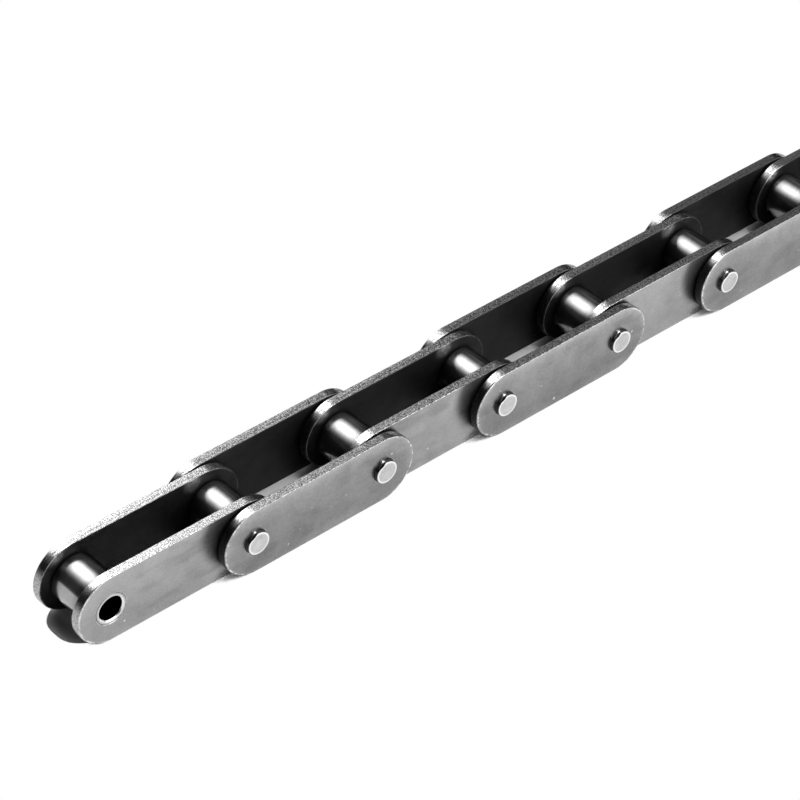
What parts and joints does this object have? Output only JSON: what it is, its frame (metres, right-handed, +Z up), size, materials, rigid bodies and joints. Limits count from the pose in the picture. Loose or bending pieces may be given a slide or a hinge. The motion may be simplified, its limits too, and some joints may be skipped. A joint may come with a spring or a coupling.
{
  "type": "double pitch roller chain",
  "caption": "Strand of double pitch roller chain with straight-sided plates: inner links on bushes with loose rollers, outer links on pins, every joint free to fold.",
  "frame": {"origin": "under the middle of the strand, on the surface that the plates' lower edges stand on", "axes": "+X along the strand, +Y across it along the pins, to the rear plates, +Z up"},
  "size_m": [0.2372, 0.0208, 0.015],
  "materials": {
    "inner_plate_steel": "blanked strip, tumbled, grey with rough bright sheared edges",
    "outer_plate_steel": "blanked strip, tumbled, grey with rough bright sheared edges",
    "bush_steel": "hardened steel, turned ends",
    "roller_steel": "dark hardened steel, ground and oiled",
    "pin_steel": "ground steel with bright end faces"
  },
  "bodies": {
    "inner_link_1": {"link_1_front_plate": "inner_plate_steel", "link_1_rear_plate": "inner_plate_steel", "link_1_left_bush": "bush_steel", "link_1_right_bush": "bush_steel"},
    "roller_1_left": {"link_1_left_roller": "roller_steel"},
    "roller_1_right": {"link_1_right_roller": "roller_steel"},
    "outer_link_2": {"link_2_front_plate": "outer_plate_steel", "link_2_rear_plate": "outer_plate_steel", "link_2_left_pin": "pin_steel", "link_2_right_pin": "pin_steel"},
    "inner_link_3": {"link_3_front_plate": "inner_plate_steel", "link_3_rear_plate": "inner_plate_steel", "link_3_left_bush": "bush_steel", "link_3_right_bush": "bush_steel"},
    "roller_3_left": {"link_3_left_roller": "roller_steel"},
    "roller_3_right": {"link_3_right_roller": "roller_steel"},
    "outer_link_4": {"link_4_front_plate": "outer_plate_steel", "link_4_rear_plate": "outer_plate_steel", "link_4_left_pin": "pin_steel", "link_4_right_pin": "pin_steel"},
    "inner_link_5": {"link_5_front_plate": "inner_plate_steel", "link_5_rear_plate": "inner_plate_steel", "link_5_left_bush": "bush_steel", "link_5_right_bush": "bush_steel"},
    "roller_5_left": {"link_5_left_roller": "roller_steel"},
    "roller_5_right": {"link_5_right_roller": "roller_steel"},
    "outer_link_6": {"link_6_front_plate": "outer_plate_steel", "link_6_rear_plate": "outer_plate_steel", "link_6_left_pin": "pin_steel", "link_6_right_pin": "pin_steel"},
    "inner_link_7": {"link_7_front_plate": "inner_plate_steel", "link_7_rear_plate": "inner_plate_steel", "link_7_left_bush": "bush_steel", "link_7_right_bush": "bush_steel"},
    "roller_7_left": {"link_7_left_roller": "roller_steel"},
    "roller_7_right": {"link_7_right_roller": "roller_steel"}
  },
  "joints": [
    {"name": "hinge_1_2", "type": "hinge", "parent": "inner_link_1", "child": "outer_link_2", "pos_m": [-0.07938, 0, 0.0075], "axis": [0, -1, 0], "range_deg": [-150, 150]},
    {"name": "hinge_2_3", "type": "hinge", "parent": "outer_link_2", "child": "inner_link_3", "pos_m": [-0.04763, 0, 0.0075], "axis": [0, 1, 0], "range_deg": [-150, 150]},
    {"name": "hinge_3_4", "type": "hinge", "parent": "inner_link_3", "child": "outer_link_4", "pos_m": [-0.01588, 0, 0.0075], "axis": [0, -1, 0], "range_deg": [-150, 150]},
    {"name": "hinge_4_5", "type": "hinge", "parent": "outer_link_4", "child": "inner_link_5", "pos_m": [0.01588, 0, 0.0075], "axis": [0, 1, 0], "range_deg": [-150, 150]},
    {"name": "hinge_5_6", "type": "hinge", "parent": "inner_link_5", "child": "outer_link_6", "pos_m": [0.04763, 0, 0.0075], "axis": [0, -1, 0], "range_deg": [-150, 150]},
    {"name": "hinge_6_7", "type": "hinge", "parent": "outer_link_6", "child": "inner_link_7", "pos_m": [0.07938, 0, 0.0075], "axis": [0, 1, 0], "range_deg": [-150, 150]},
    {"name": "spin_roller_1_left", "type": "hinge", "parent": "inner_link_1", "child": "roller_1_left", "pos_m": [-0.11113, 0, 0.0075], "axis": [0, 1, 0], "continuous": true},
    {"name": "spin_roller_1_right", "type": "hinge", "parent": "inner_link_1", "child": "roller_1_right", "pos_m": [-0.07938, 0, 0.0075], "axis": [0, 1, 0], "continuous": true},
    {"name": "spin_roller_3_left", "type": "hinge", "parent": "inner_link_3", "child": "roller_3_left", "pos_m": [-0.04763, 0, 0.0075], "axis": [0, 1, 0], "continuous": true},
    {"name": "spin_roller_3_right", "type": "hinge", "parent": "inner_link_3", "child": "roller_3_right", "pos_m": [-0.01588, 0, 0.0075], "axis": [0, 1, 0], "continuous": true},
    {"name": "spin_roller_5_left", "type": "hinge", "parent": "inner_link_5", "child": "roller_5_left", "pos_m": [0.01588, 0, 0.0075], "axis": [0, 1, 0], "continuous": true},
    {"name": "spin_roller_5_right", "type": "hinge", "parent": "inner_link_5", "child": "roller_5_right", "pos_m": [0.04763, 0, 0.0075], "axis": [0, 1, 0], "continuous": true},
    {"name": "spin_roller_7_left", "type": "hinge", "parent": "inner_link_7", "child": "roller_7_left", "pos_m": [0.07938, 0, 0.0075], "axis": [0, 1, 0], "continuous": true},
    {"name": "spin_roller_7_right", "type": "hinge", "parent": "inner_link_7", "child": "roller_7_right", "pos_m": [0.11113, 0, 0.0075], "axis": [0, 1, 0], "continuous": true}
  ]
}
